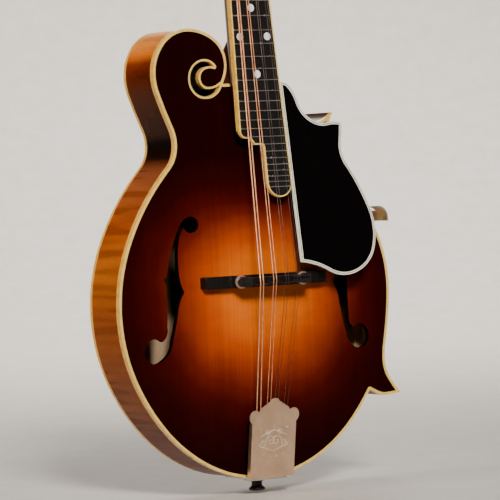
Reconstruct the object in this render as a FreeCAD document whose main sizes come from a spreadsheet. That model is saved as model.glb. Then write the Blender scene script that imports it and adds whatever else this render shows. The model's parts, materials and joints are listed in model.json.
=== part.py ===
"""A carved eight-string mandolin with a scroll, two points and f-holes, as a parametric FreeCAD document.

Frame, in millimetres: +Z runs up the neck, the soundboard faces -Y, +X is the treble side. The origin is
on the outside of the tail, on the centreline, half way between the top and the back edge of the rim.
"""
import FreeCAD, Part
import math
import os

import Sketcher
from FreeCAD import Placement, Rotation, Vector

doc = FreeCAD.newDocument("mandolin")

# ------------------------------------------------------------------ driving dimensions
DIMENSIONS = [
    # scale and neck
    ("scale_length", 352.4), ("nut_height", 508.6), ("neck_angle", 5.64), ("join_fret", 15),
    ("fret_count", 29), ("board_rise", 13.65), ("board_thick", 5.0), ("board_nut_width", 28.7),
    ("board_taper", 0.056), ("board_end", 295.6), ("extension_thick", 2.9), ("nut_thick", 5.0),
    ("nut_proud", 2.4),
    ("neck_depth_nut", 14.0), ("neck_depth_heel", 17.0),
    # body
    ("body_depth", 41.8), ("bass_bout", 124.8), ("treble_bout", 126.4), ("waist", 69.3),
    ("scroll_top", 345.8), ("neck_face", 303.3), ("top_edge", 4.4), ("back_edge", 3.2),
    ("top_arch", 11.0), ("back_arch", 13.0), ("rib_thick", 2.0), ("binding_width", 2.2),
    ("slot_binding", 1.6), ("lining_width", 5.0), ("lining_depth", 6.5),
    # bridge
    ("bridge_place", 152.5), ("string_rise", 35.4), ("bridge_length", 111.4), ("bridge_width", 9.4),
    ("post_spread", 57.0), ("post_radius", 1.45), ("wheel_radius", 5.0), ("wheel_thick", 2.2),
    ("knurl_radius", 0.6), ("post_length", 14.9), ("saddle_travel", 1.0),
    # tailpiece
    ("cover_width", 40.6), ("cover_foot", 4.5), ("cover_length", 66.1), ("cover_tilt", 8.4),
    ("sheet_metal", 0.8),
    ("base_width", 35.0), ("base_thick", 1.2), ("pin_place", -10.0), ("pin_radius", 6.4),
    ("pin_length", 9.0), ("pin_stem", 4.0),
    # headstock and tuners
    ("head_angle", 16.0), ("head_thick", 13.0), ("veneer", 2.0), ("tuner_pitch", 23.0),
    ("tuner_first", 40.0), ("tuner_row", 17.0), ("plate_thick", 1.2), ("string_post", 3.0),
    ("gear_radius", 5.0), ("worm_radius", 2.4), ("shaft_radius", 1.4), ("running_gap", 0.05),
    ("bushing_radius", 4.4),
    # strings
    ("post_eye", 4.9),
    # pickguard
    ("guard_thick", 2.0), ("guard_rise", 0.3), ("strap_thick", 1.2), ("thumb_radius", 1.6),
]

sheet = doc.addObject("Spreadsheet::Sheet", "dims")
for row, (alias, number) in enumerate(DIMENSIONS, start=1):
    sheet.set("A%d" % row, alias.replace("_", " "))
    sheet.set("B%d" % row, str(number))
    sheet.setAlias("B%d" % row, alias)
doc.recompute()


def dim(alias):
    """One driving dimension, read from the sheet."""
    return float(sheet.get(alias))


HALF = dim("body_depth") / 2
TOP_EDGE = -HALF
TOP_GLUE = -HALF + dim("top_edge")
BACK_GLUE = HALF - dim("back_edge")
BACK_EDGE = HALF
NECK_FACE = dim("neck_face")
EDGE_GAP = 0.05

sub_parts = []


def keep(label, item):
    """Mark a document object as one sub-part, under the name of its file."""
    item.Label = label
    sub_parts.append(item)
    return item


def feature(label, shape, placement=None):
    """A sub-part whose shape is made by Part's own functions."""
    item = doc.addObject("Part::Feature", label)
    item.Shape = shape
    if placement is not None:
        item.Placement = placement
    return keep(label, item)


# ------------------------------------------------------------------ flat drawing helpers
def at(x, z, y=0.0):
    return Vector(x, y, z)


def toward(degrees):
    """Unit vector in the XZ plane: 0 is +X, 90 is +Z."""
    return Vector(math.cos(math.radians(degrees)), 0, math.sin(math.radians(degrees)))


def left_of(vector):
    """The vector turned a quarter turn from +X towards +Z."""
    return Vector(-vector.z, 0, vector.x)


def bowed(start, end, lean):
    """Arc from start to end that leaves its chord by the angle lean, in radians."""
    chord = end - start
    if abs(lean) < 1e-4:
        return Part.LineSegment(start, end).toShape()
    middle = (start + end) / 2 + left_of(chord) * (math.tan(lean / 2) / 2)
    return Part.Arc(start, middle, end).toShape()


def lean_between(chord, tangent):
    return math.atan2(left_of(chord).dot(tangent), chord.dot(tangent))


def biarc(start, leaving, end, arriving):
    """Two arcs, tangent to each other and to the headings at both ends."""
    first, last = toward(leaving), toward(arriving)
    span = end - start
    along = span.dot(first + last)
    bend = 2 * (1 - first.dot(last))
    if bend < 1e-6:
        reach = span.dot(span) / (2 * along)
    else:
        reach = (math.sqrt(along * along + bend * span.dot(span)) - along) / bend
    meet = (start + first * reach + end - last * reach) / 2
    return [
        bowed(start, meet, lean_between(meet - start, first)),
        bowed(meet, end, -lean_between(end - meet, last)),
    ]


def smooth_path(stations):
    """Edges through stations (x, z, heading in, heading out); the two headings differ at a corner."""
    edges = []
    for before, after in zip(stations, stations[1:]):
        edges += biarc(at(before[0], before[1]), before[3], at(after[0], after[1]), after[2])
    return edges


def arcs_through(points):
    """Arcs through start, middle, end, middle, end and so on."""
    edges = []
    for index in range(0, len(points) - 2, 2):
        a, b, c = (at(*point) for point in points[index : index + 3])
        edges.append(Part.Arc(a, b, c).toShape())
    return edges


def polyline(points):
    return [Part.LineSegment(at(*a), at(*b)).toShape() for a, b in zip(points, points[1:])]


def area(edges):
    return Part.Face(Part.Wire(edges))


def rectangle(x_low, x_high, z_low, z_high):
    corners = [(x_low, z_low), (x_high, z_low), (x_high, z_high), (x_low, z_high), (x_low, z_low)]
    return area(polyline(corners))


def inset(face, distance):
    """The face grown by a positive distance or shrunk by a negative one."""
    return face.makeOffset2D(distance, 0)


def prism(face, y_from, y_to):
    """The flat XZ face carried from y_from to y_to."""
    moved = face.copy()
    moved.translate(Vector(0, y_from, 0))
    return moved.extrude(Vector(0, y_to - y_from, 0))


def block(x_low, x_high, y_low, y_high, z_low, z_high):
    size = (x_high - x_low, y_high - y_low, z_high - z_low)
    return Part.makeBox(*size, Vector(x_low, y_low, z_low))


def rod(radius, start, end):
    span = end - start
    return Part.makeCylinder(radius, span.Length, start, span)


def turned(profile, axis_start, axis):
    """Solid of revolution of a closed (distance along, radius) profile about an axis."""
    unit = Vector(axis).normalize()
    side = unit.cross(Vector(1, 0, 0)) if abs(unit.x) < 0.9 else unit.cross(Vector(0, 1, 0))
    side.normalize()
    points = [axis_start + unit * along + side * radius for along, radius in profile]
    wire = Part.makePolygon(points + [points[0]])
    return Part.Face(wire).revolve(axis_start, unit, 360)


def placed(shape, placement):
    moved = shape.copy()
    moved.Placement = placement.multiply(moved.Placement)
    return moved


def solids(shape):
    """The solids of a boolean result, as one solid or one compound."""
    parts = shape.Solids
    return parts[0] if len(parts) == 1 else Part.makeCompound(parts)


# ------------------------------------------------------------------ frames of the neck and the head
def fret_distance(number):
    return dim("scale_length") * (1 - 2 ** (-number / 12))


JOIN = fret_distance(dim("join_fret"))
NECK_SLOPE = math.radians(dim("neck_angle"))
NECK = Placement(
    Vector(0, TOP_EDGE - dim("board_rise"), dim("nut_height") - JOIN * math.cos(NECK_SLOPE)),
    Rotation(Vector(1, 0, 0), -dim("neck_angle")),
)
HEAD_START = JOIN + dim("nut_thick")
HEAD = NECK.multiply(
    Placement(Vector(0, 1.2, HEAD_START), Rotation(Vector(1, 0, 0), -dim("head_angle")))
)
HEAD_BACK = dim("veneer") + dim("head_thick")
COVER_TILT = Placement(Vector(0, -22.6, -2.2), Rotation(Vector(1, 0, 0), dim("cover_tilt")))


def board_half(along):
    """Half the fingerboard's width at a height above the body joint, in the neck's frame."""
    return (dim("board_nut_width") + dim("board_taper") * (JOIN - along)) / 2


# ------------------------------------------------------------------ body outline
def body_outline():
    bass, treble, waist = dim("bass_bout"), dim("treble_bout"), dim("waist")
    stations = [
        (0, 0, 180, 180),
        (-85.5, 39, 133, 133),
        (-bass, 134, 90, 90),
        (-89.5, 226, 51, 51),
        (-waist, 258, 90, 90),
        (-77.5, 282.7, 113, 113),
        (-85.9, 311.5, 90, 90),
        (-53.5, dim("scroll_top"), 0, 0),
        (-19, 318, 270, 270),
        (-23.4, NECK_FACE, 240, 0),
        (21, NECK_FACE, 0, 278),
        (58, 271.6, 0, 0),
        (78.4, 279.0, 42, 250),
        (waist, 258.5, 270, 270),
        (89.5, 227, 309, 309),
        (treble, 142, 270, 270),
        (123.4, 110, 261, 261),
        (119.6, 83.5, 270, 270),
        (133.6, 56, 311, 186),
        (119, 54.9, 180, 180),
        (103.7, 60.3, 153, 236),
        (86.5, 38.6, 227, 227),
        (0, 0, 180, 180),
    ]
    return area(smooth_path(stations))


def scroll_slot():
    """The crescent between the scroll and its button, cut right through the body."""
    outside = [(-30.2, 316.4), (-34.2, 319.8), (-39.6, 320.9), (-49.1, 316.8), (-52.9, 307.3),
               (-49.0, 297.7), (-39.3, 293.8), (-31.6, 295.6), (-26.2, 300.7)]
    inside = [(-25.6, 303.0), (-29.6, 300.8), (-35.4, 299.7), (-42.3, 301.9), (-45.0, 308.1),
              (-42.6, 314.0), (-36.8, 316.7), (-33.4, 317.0), (-30.2, 316.4)]
    joint = polyline([outside[-1], inside[0]])
    return area(arcs_through(outside) + joint + arcs_through(inside))


OUTLINE = body_outline()
SLOT = scroll_slot()
INSIDE_RIB = inset(OUTLINE, -dim("rib_thick"))
INSIDE_BINDING = inset(OUTLINE, -dim("binding_width"))
SLOT_RIM = inset(SLOT, dim("slot_binding"))


# ------------------------------------------------------------------ carved plates
def swell(share):
    """Level at the edge and at the crown, with the recurve between them."""
    share = max(0.0, min(1.0, share))
    return math.sin(share * math.pi / 2) ** 2


def bass_width(height, edge_points):
    """Half-width of the bass side at a height; above the waist it stays the waist's."""
    if height >= 258:
        return dim("waist")
    near = min(edge_points, key=lambda point: abs(point.z - height))
    return max(-near.x, 1.0)


def carved_surface(edge_y, crown, outward):
    """Face of the arched surface over a rectangle larger than the body."""
    bass_edge = []
    for edge in OUTLINE.OuterWire.OrderedEdges[:8]:
        bass_edge += edge.discretize(60)
    rows = []
    for z_step in range(-2, 37):
        z = 10.0 * z_step
        ends = swell(z / 95) * swell((NECK_FACE - z) / 100)
        width = bass_width(z, bass_edge)
        row = []
        for x_step in range(-14, 15):
            x = 10.0 * x_step
            rise = crown * ends * swell(1 - abs(x) / width)
            row.append(Vector(x, edge_y + outward * rise, z))
        rows.append(row)
    surface = Part.BSplineSurface()
    surface.interpolate(rows)
    return surface.toShape()


TOP_SURFACE = carved_surface(TOP_EDGE, dim("top_arch"), -1)
BACK_SURFACE = carved_surface(BACK_EDGE, dim("back_arch"), 1)


def sound_hole(side):
    """Cutter for one f-hole, drawn on the bass side: two round eyes, a stem and its two notches."""
    upper_eye = Part.makeCylinder(6.2, 60, at(-60.8, 197.4, -50), Vector(0, 1, 0))
    lower_eye = Part.makeCylinder(9.5, 60, at(-95.0, 103.4, -50), Vector(0, 1, 0))
    inner = [(-64.0, 198.0), (-68.6, 193.0), (-71.6, 185.5), (-73.0, 175.0), (-72.9, 163.0),
             (-71.8, 154.0), (-69.2, 146.6), (-72.6, 140.4), (-75.2, 130.0), (-77.2, 121.1),
             (-80.0, 110.7), (-84.4, 99.8), (-93.0, 94.1)]
    outer = [(-90.5, 109.5), (-86.4, 112.6), (-84.4, 121.0), (-83.8, 134.0), (-84.1, 150.0),
             (-84.6, 154.6), (-86.4, 156.8), (-83.4, 159.4), (-82.0, 164.4), (-79.0, 176.0),
             (-73.4, 190.6), (-70.4, 196.5), (-67.4, 200.8), (-64.6, 202.6), (-61.0, 203.4)]
    edges = arcs_through(inner) + polyline([inner[-1], outer[0]])
    edges += arcs_through(outer) + polyline([outer[-1], inner[0]])
    hole = upper_eye.fuse(lower_eye).fuse(prism(area(edges), -50, 10))
    return hole if side < 0 else hole.mirror(Vector(0, 0, 0), Vector(1, 0, 0))


def make_soundboard():
    slab = TOP_SURFACE.extrude(Vector(0, dim("top_edge"), 0))
    plate = slab.common(prism(INSIDE_BINDING.cut(SLOT_RIM), -60, 0))
    for side in (-1, 1):
        plate = plate.cut(sound_hole(side))
    feature("soundboard", solids(plate))


def make_back_plate():
    slab = BACK_SURFACE.extrude(Vector(0, -dim("back_edge"), 0))
    feature("back_plate", solids(slab.common(prism(INSIDE_BINDING.cut(SLOT_RIM), 0, 60))))


def make_bindings():
    edge_ring = OUTLINE.cut(INSIDE_BINDING)
    slot_ring = SLOT_RIM.common(OUTLINE).cut(SLOT)
    for label, y_from, y_to in (
        ("top_binding", TOP_EDGE, TOP_GLUE),
        ("back_binding", BACK_GLUE, BACK_EDGE),
    ):
        ring = prism(edge_ring, y_from, y_to).fuse(prism(slot_ring, y_from, y_to))
        feature(label, solids(ring.removeSplitter()))


# ------------------------------------------------------------------ wood screws
def wood_screw(seat, inward, length):
    """Round-headed screw whose head sits on seat and whose shank runs inward."""
    unit = Vector(inward).normalize()
    profile = [(-0.9, 0), (-0.9, 0.9), (-0.4, 1.6), (0, 1.8), (0, 0.9), (length - 2, 0.9),
               (length, 0)]
    slot_tool = Part.makeBox(4, 0.5, 0.5, Vector(-2, -0.25, -0.25))
    slot_tool.Placement = Placement(seat - unit * 0.8, Rotation(Vector(0, 0, 1), unit))
    return turned(profile, seat, unit).cut(slot_tool)


def screw_set():
    screws = []
    plate_face = HEAD_BACK + dim("plate_thick")
    back_way = HEAD.Rotation.multVec(Vector(0, -1, 0))
    for side in (-1, 1):
        for step in range(5):
            along = dim("tuner_first") - 9.2 + dim("tuner_pitch") * step
            seat = HEAD.multVec(Vector(side * dim("tuner_row"), plate_face + 0.02, along))
            screws.append(wood_screw(seat, back_way, 9))
    front_way = HEAD.Rotation.multVec(Vector(0, 1, 0))
    for x, along in ((-9.2, 18.5), (9.2, 18.5)):
        screws.append(wood_screw(HEAD.multVec(Vector(x, -1.62, along)), front_way, 8))
    for x, y in ((-12.5, -14), (12.5, -14), (0, 2.5)):
        rise = 0.004 * x * x - dim("base_thick") - 0.06
        screws.append(wood_screw(Vector(x, y, rise), Vector(0, 0, 1), 11))
    return screws


WOOD_SCREWS = Part.makeCompound(screw_set())


# ------------------------------------------------------------------ rim, blocks and bars
LOWER_TIP = [(160, 45.6), (133.6, 56), (119.6, 61.5)]
UPPER_TIP = [(72.5, 270.2), (78.4, 279.0), (89.6, 295.6)]
PIN_AXIS = Vector(0, dim("pin_place"), 0)
PIN_STEM = dim("pin_stem")


def closed(points):
    return area(polyline(points + [points[0]]))


def rim_piece(plan, label):
    """One bent rib: the rim's ring inside the plan, between the two plates."""
    ring = OUTLINE.cut(INSIDE_RIB).common(plan)
    rib = prism(ring, TOP_GLUE, BACK_GLUE)
    rib = rib.cut(rod(PIN_STEM, PIN_AXIS + Vector(0, 0, -5), PIN_AXIS + Vector(0, 0, 30)))
    rib = rib.cut(WOOD_SCREWS)
    feature(label, solids(rib))
    return rib


NECK_PLAN = rectangle(-24, 46, 262, NECK_FACE)
SCROLL_PLAN = closed([(-95, 284), (-24, 284), (-24, 303.35), (-10, 303.35), (-10, 350), (-95, 350)])
TAIL_PLAN = rectangle(-40, 40, 0, 22)


def make_ribs():
    bass = closed([(-160, -5), (0, -5), (0, 262), (-24, 262), (-24, 303.35), (-10, 303.35),
                   (-10, 360), (-160, 360)])
    lower = closed([(0, -5), (160, -5)] + LOWER_TIP + [(100, 75), (0, 75)])
    middle = closed(LOWER_TIP + [(100, 75), (40, 75), (40, 262)] + UPPER_TIP + [(160, 295.6)])
    upper = closed([(19, 262), (40, 262)] + UPPER_TIP + [(100, 310), (19, 310)])
    ribs = [
        rim_piece(bass, "bass_rib"),
        rim_piece(lower, "treble_lower_rib"),
        rim_piece(middle, "treble_middle_rib"),
        rim_piece(upper, "treble_upper_rib"),
    ]
    return ribs


def make_blocks(ribs):
    """Solid wood where the neck, the tailpiece, the scroll and the two points need it."""
    pin_hole = rod(PIN_STEM, PIN_AXIS, PIN_AXIS + Vector(0, 0, 30))
    tail = prism(INSIDE_RIB.common(TAIL_PLAN), TOP_GLUE, BACK_GLUE).cut(pin_hole)
    tail = tail.cut(WOOD_SCREWS)
    feature("tail_block", solids(tail))
    scroll = prism(INSIDE_RIB.common(SCROLL_PLAN).cut(SLOT), TOP_GLUE, BACK_GLUE)
    feature("scroll_block", solids(scroll))
    head = prism(OUTLINE.common(NECK_PLAN), TOP_GLUE, BACK_GLUE)
    for rib in ribs:
        head = head.cut(rib)
    mortise = block(-TENON_HALF, TENON_HALF, TOP_GLUE, TENON_FOOT, TENON_END, NECK_FACE + 5)
    feature("neck_block", solids(head.cut(mortise).cut(prism(SLOT, -30, 30))))
    points = []
    for plan in (rectangle(60, 90, 262, 290), rectangle(104, 140, 50, 74)):
        points += prism(INSIDE_RIB.common(plan), TOP_GLUE, BACK_GLUE).Solids
    feature("point_blocks", Part.makeCompound(points))


def make_linings():
    """The strips that widen the rim's glue edges, between the blocks."""
    ring = INSIDE_RIB.cut(inset(OUTLINE, -dim("rib_thick") - dim("lining_width")))
    for plan in (NECK_PLAN, SCROLL_PLAN, TAIL_PLAN, rectangle(58, 90, 262, 290),
                 rectangle(102, 140, 50, 76), rectangle(-24, 58, 262, 310)):
        ring = ring.cut(plan)
    strips = prism(ring, TOP_GLUE, TOP_GLUE + dim("lining_depth")).Solids
    strips += prism(ring, BACK_GLUE - dim("lining_depth"), BACK_GLUE).Solids
    feature("linings", Part.makeCompound(strips))


def make_tone_bars():
    """Two spruce bars fitted to the hollow of the soundboard."""
    hollow = TOP_SURFACE.copy()
    hollow.translate(Vector(0, dim("top_edge"), 0))
    above = hollow.extrude(Vector(0, -40, 0))
    bars = []
    for head_x, foot_x in ((-17, -40), (19, 42)):
        plan = closed([(head_x - 3, 232), (head_x + 3, 232), (foot_x + 3, 76), (foot_x - 3, 76)])
        bars += prism(plan, -34, TOP_GLUE + 3).cut(above).Solids
    feature("tone_bars", Part.makeCompound(bars))


# ------------------------------------------------------------------ neck, heel and headstock
TENON_HALF = 10.0
TENON_FOOT = 12.0
TENON_END = 284.0
ROD_DEPTH = 9.0
ROD_RADIUS = 2.4


def neck_section(along, depth):
    """D-shaped section under the fingerboard, at a height in the neck's frame."""
    half = board_half(along)
    top = dim("board_thick")
    left, right = Vector(-half, top, along), Vector(half, top, along)
    belly = Part.Arc(right, Vector(0, top + depth, along), left).toShape()
    return Part.Wire([Part.LineSegment(left, right).toShape(), belly])


def heel_section(y, half, length):
    """Rounded section of the heel at one depth, standing on the body's end face."""
    points = [at(half, NECK_FACE, y), at(half * 0.93, NECK_FACE + length * 0.45, y),
              at(half * 0.55, NECK_FACE + length * 0.87, y), at(0, NECK_FACE + length, y),
              at(-half * 0.55, NECK_FACE + length * 0.87, y),
              at(-half * 0.93, NECK_FACE + length * 0.45, y), at(-half, NECK_FACE, y)]
    curve = Part.BSplineCurve()
    curve.interpolate(points)
    return Part.Wire([curve.toShape(), Part.LineSegment(points[-1], points[0]).toShape()])


def head_outline():
    """The headstock's face: ears, a bass-side scroll and a treble-side horn."""
    points = [(-15.2, -2), (-17.0, 7), (-24.5, 12.5), (-31.8, 15.5), (-33.2, 24), (-31.6, 62),
              (-33.6, 110), (-38.6, 128), (-36.4, 147), (-30.5, 160), (-18.5, 164.5), (-6.4, 159.5),
              (-4.6, 148.5), (-7.4, 140.4), (-14.6, 140.2), (-5.0, 130.6), (5.6, 133.0),
              (13.4, 140.6), (16.4, 154), (19.6, 167.5), (28.0, 175), (33.4, 160), (31.6, 144),
              (30.4, 128), (33.6, 110), (31.6, 62), (33.2, 24), (31.8, 15.5), (24.5, 12.5),
              (17.0, 7), (15.2, -2)]
    return area(arcs_through(points) + polyline([points[-1], points[0]]))


HEAD_OUTLINE = head_outline()
POST_PLACES = [
    (side * dim("tuner_row"), dim("tuner_first") + dim("tuner_pitch") * step)
    for side in (-1, 1)
    for step in range(4)
]
BUSHING_RADIUS = dim("bushing_radius")


def under_extension():
    """Everything behind the thin free end of the fingerboard, in the neck's frame."""
    return block(-60, 60, dim("extension_thick"), 60, -120, -38.5)


def make_riser():
    """The wood that carries the free end of the fingerboard clear of the soundboard."""
    plan = rectangle(-15.5, 16.5, 264, NECK_FACE).fuse(rectangle(3.6, 18.4, 226, 264))
    below_board = block(-60, 60, dim("board_thick"), 60, -120, 20).fuse(under_extension())
    riser = prism(plan.removeSplitter().Faces[0], -60, 0).common(placed(below_board, NECK))
    return riser.cut(TOP_SURFACE.extrude(Vector(0, 60, 0)))


def make_neck():
    sections = [
        neck_section(HEAD_START, dim("neck_depth_nut")),
        neck_section(JOIN * 0.5, (dim("neck_depth_nut") + dim("neck_depth_heel")) / 2),
        neck_section(-6, dim("neck_depth_heel")),
    ]
    shaft = placed(Part.makeLoft(sections, True, False), NECK)
    heel = Part.makeLoft(
        [heel_section(-21, 13, 56), heel_section(-10, 18, 38), heel_section(4, 15, 20),
         heel_section(BACK_EDGE - 2, 11.5, 12)], True, False)
    head_wood = placed(prism(HEAD_OUTLINE, dim("veneer"), HEAD_BACK), HEAD)
    wood = shaft.fuse(heel).cut(block(-60, 60, -60, 60, 200, NECK_FACE))
    tenon = block(-TENON_HALF, TENON_HALF, TOP_GLUE, TENON_FOOT, TENON_END, NECK_FACE + 4)
    wood = wood.fuse([head_wood, tenon, make_riser()])
    # nothing stands in front of the nut's seat or of the veneer
    wood = wood.cut(placed(block(-60, 60, -40, dim("board_thick"), -6, HEAD_START + 1), NECK))
    wood = wood.cut(placed(block(-60, 60, -60, dim("veneer"), -12, 190), HEAD))
    channel = rod(ROD_RADIUS, Vector(0, ROD_DEPTH, -14), Vector(0, ROD_DEPTH, HEAD_START + 1))
    pocket = block(-4.6, 4.6, 0, 11, 2.0, 27)
    wood = wood.cut(placed(channel, NECK)).cut(placed(pocket, HEAD))
    for x, along in POST_PLACES:
        bore = rod(BUSHING_RADIUS, Vector(x, 0, along), Vector(x, HEAD_BACK + 2, along))
        wood = wood.cut(placed(bore, HEAD))
    feature("neck", solids(wood.cut(WOOD_SCREWS).removeSplitter()))
    cap = Part.Face(heel_section(BACK_EDGE - 2, 11.5, 12)).extrude(Vector(0, 2.2, 0))
    feature("heel_cap", cap)


NUT_SIDE = block(-60, 60, -5, 5, -5, 0.8)


def make_head_face():
    inner = inset(HEAD_OUTLINE, -1.5)
    veneer = prism(inner, 0, dim("veneer"))
    veneer = veneer.cut(NUT_SIDE).cut(block(-4.6, 4.6, -1, 3, 2.0, 27))
    ring = prism(HEAD_OUTLINE.cut(inner), 0, dim("veneer")).cut(NUT_SIDE)
    for x, along in POST_PLACES:
        bore = rod(BUSHING_RADIUS, Vector(x, -5, along), Vector(x, 5, along))
        veneer = veneer.cut(bore)
    veneer = veneer.cut(placed(WOOD_SCREWS, HEAD.inverse()))
    feature("head_veneer", solids(veneer), HEAD)
    feature("head_binding", solids(ring), HEAD)


def make_truss_parts():
    """Rod in the neck, its nut in the headstock's pocket, and the pocket's cover."""
    bar = rod(ROD_RADIUS, Vector(0, ROD_DEPTH, -14), Vector(0, ROD_DEPTH, HEAD_START + 1))
    stud = rod(1.5, Vector(0, ROD_DEPTH, HEAD_START + 1), Vector(0, ROD_DEPTH, HEAD_START + 12))
    feature("truss_rod", bar.fuse(stud), NECK)
    corners = [Vector(3.5 * math.cos(math.radians(60 * step)),
                      ROD_DEPTH + 3.5 * math.sin(math.radians(60 * step)), HEAD_START + 5)
               for step in range(7)]
    hexagon = Part.Face(Part.makePolygon(corners)).extrude(Vector(0, 0, 6))
    bore = rod(1.5 + dim("running_gap"), Vector(0, ROD_DEPTH, 190), Vector(0, ROD_DEPTH, 240))
    feature("truss_nut", hexagon.cut(bore), NECK)
    bell = arcs_through([(-6.5, 1), (-8.6, 8), (-11.5, 12), (-12.0, 20), (-7.0, 25), (-3.4, 28.0),
                         (0, 33), (3.4, 28.0), (7.0, 25), (12.0, 20), (11.5, 12), (8.6, 8),
                         (6.5, 1)])
    cover = prism(area(bell + polyline([(6.5, 1), (-6.5, 1)])), -1.6, -0.02)
    cover = placed(cover, HEAD).cut(WOOD_SCREWS)
    feature("truss_cover", solids(cover))


# ------------------------------------------------------------------ fingerboard
def board_outline():
    """Plan of the fingerboard in the neck's frame, with its long treble-side extension."""
    nut = JOIN
    tip = JOIN - dim("board_end")
    right = board_half(-79.1)
    left = -0.4
    edges = polyline([(-board_half(nut), nut), (board_half(nut), nut), (right, -79.1)])
    edges += arcs_through([(right, -79.1), ((right + left) / 2, tip + 0.9), (left, -79.1)])
    edges += polyline([(left, -79.1), (left, -52.2)])
    edges += arcs_through([(left, -52.2), (-1.2, -50.3), (-3.0, -49.7)])
    edges += polyline([(-3.0, -49.7), (-8.6, -49.7), (-12.4, -44.6), (-16.2, -44.6)])
    edges += arcs_through([(-16.2, -44.6), (-19.8, -43.0), (-board_half(-38.3), -38.3)])
    edges += polyline([(-board_half(-38.3), -38.3), (-board_half(nut), nut)])
    return area(edges)


BOARD_OUTLINE = board_outline()
MARKED_FRETS = (3, 5, 7, 10, 12, 15)


def marker_places():
    for number in MARKED_FRETS:
        along = JOIN - (fret_distance(number - 1) + fret_distance(number)) / 2
        for x in (-12.6, 12.6) if number == 12 else (0,):
            yield x, along


def side_marker_places():
    for number in MARKED_FRETS:
        yield JOIN - (fret_distance(number - 1) + fret_distance(number)) / 2


def fret_bar(number):
    """Crowned fret wire with its tang, across the whole board."""
    along = JOIN - fret_distance(number)
    outline = [Vector(-40, -0.3, along - 0.6), Vector(-40, 0, along - 0.6),
               Vector(-40, 0, along - 0.25), Vector(-40, 1.7, along - 0.25),
               Vector(-40, 1.7, along + 0.25), Vector(-40, 0, along + 0.25),
               Vector(-40, 0, along + 0.6), Vector(-40, -0.3, along + 0.6)]
    sides = [Part.LineSegment(a, b).toShape() for a, b in zip(outline, outline[1:])]
    crown = Part.Arc(outline[-1], Vector(-40, -0.92, along), outline[0]).toShape()
    return Part.Face(Part.Wire(sides + [crown])).extrude(Vector(80, 0, 0))


def make_fingerboard():
    inner = inset(BOARD_OUTLINE, -1.1)
    room = prism(inner, -2, dim("board_thick"))
    bars = []
    for number in range(1, int(dim("fret_count")) + 1):
        bars += fret_bar(number).common(room).Solids
    frets = Part.makeCompound(bars)
    dots = [rod(3.0, Vector(x, 0, along), Vector(x, 1.3, along)) for x, along in marker_places()]
    side_dots = []
    for along in side_marker_places():
        outside = Vector(-board_half(along), 2.6, along)
        side_dots.append(rod(1.1, outside + Vector(0.02, 0, 0), outside + Vector(0.9, 0, 0)))
    board = prism(inner, 0, dim("board_thick")).cut(under_extension())
    feature("fingerboard", solids(board.cut(frets).cut(Part.makeCompound(dots))), NECK)
    feature("frets", frets, NECK)
    ring = prism(BOARD_OUTLINE.cut(inner), 0, dim("board_thick")).cut(under_extension())
    feature("board_binding", solids(ring.cut(Part.makeCompound(side_dots))), NECK)
    feature("position_markers", Part.makeCompound(dots + side_dots), NECK)


# ------------------------------------------------------------------ tuners
GEAR_FROM = HEAD_BACK + dim("plate_thick") + 1.0
GEAR_TO = GEAR_FROM + 3.2
SHAFT_DEPTH = (GEAR_FROM + GEAR_TO) / 2
SHAFT_OFFSET = dim("gear_radius") + dim("worm_radius") + 0.15
GEAR_TEETH = 15
BUTTON_FROM = 36.0


def make_tuner_plates():
    """The two engraved plates behind the head, each with four pairs of shaft bearings."""
    for side, label in ((-1, "tuner_plate_bass"), (1, "tuner_plate_treble")):
        inner_x, outer_x = sorted((side * 8.6, side * 28.0))
        plate = block(inner_x, outer_x, HEAD_BACK, HEAD_BACK + dim("plate_thick"), 25, 128)
        corners = [edge for edge in plate.Edges if abs(edge.Vertexes[0].Y - edge.Vertexes[-1].Y) > 1]
        plate = plate.makeFillet(4.0, corners)
        for x, along in POST_PLACES:
            if x * side < 0:
                continue
            shaft_line = along + SHAFT_OFFSET
            for offset in (-8.0, 8.0):
                bearing = block(x + offset - 1.1, x + offset + 1.1, HEAD_BACK + 0.6, SHAFT_DEPTH,
                                shaft_line - 2.8, shaft_line + 2.8)
                crown = rod(2.8, Vector(x + offset - 1.1, SHAFT_DEPTH, shaft_line),
                            Vector(x + offset + 1.1, SHAFT_DEPTH, shaft_line))
                plate = plate.fuse([bearing, crown])
            bore = dim("shaft_radius") + dim("running_gap")
            plate = plate.cut(rod(bore, Vector(x - 20, SHAFT_DEPTH, shaft_line),
                                  Vector(x + 20, SHAFT_DEPTH, shaft_line)))
            plate = plate.cut(rod(2.4, Vector(x, HEAD_BACK - 1, along),
                                  Vector(x, HEAD_BACK + 3, along)))
        screws = placed(WOOD_SCREWS, HEAD.inverse())
        feature(label, solids(plate.cut(screws).removeSplitter()), HEAD)


def toothed_wheel(radius, teeth, y_from, y_to, x, along):
    wheel = rod(radius, Vector(x, y_from, along), Vector(x, y_to, along))
    gaps = []
    for tooth in range(teeth):
        notch = Vector(x, 0, along) + toward(360 * tooth / teeth) * radius
        gaps.append(rod(0.5, notch + Vector(0, y_from - 1, 0), notch + Vector(0, y_to + 1, 0)))
    return wheel.cut(Part.makeCompound(gaps))


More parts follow.
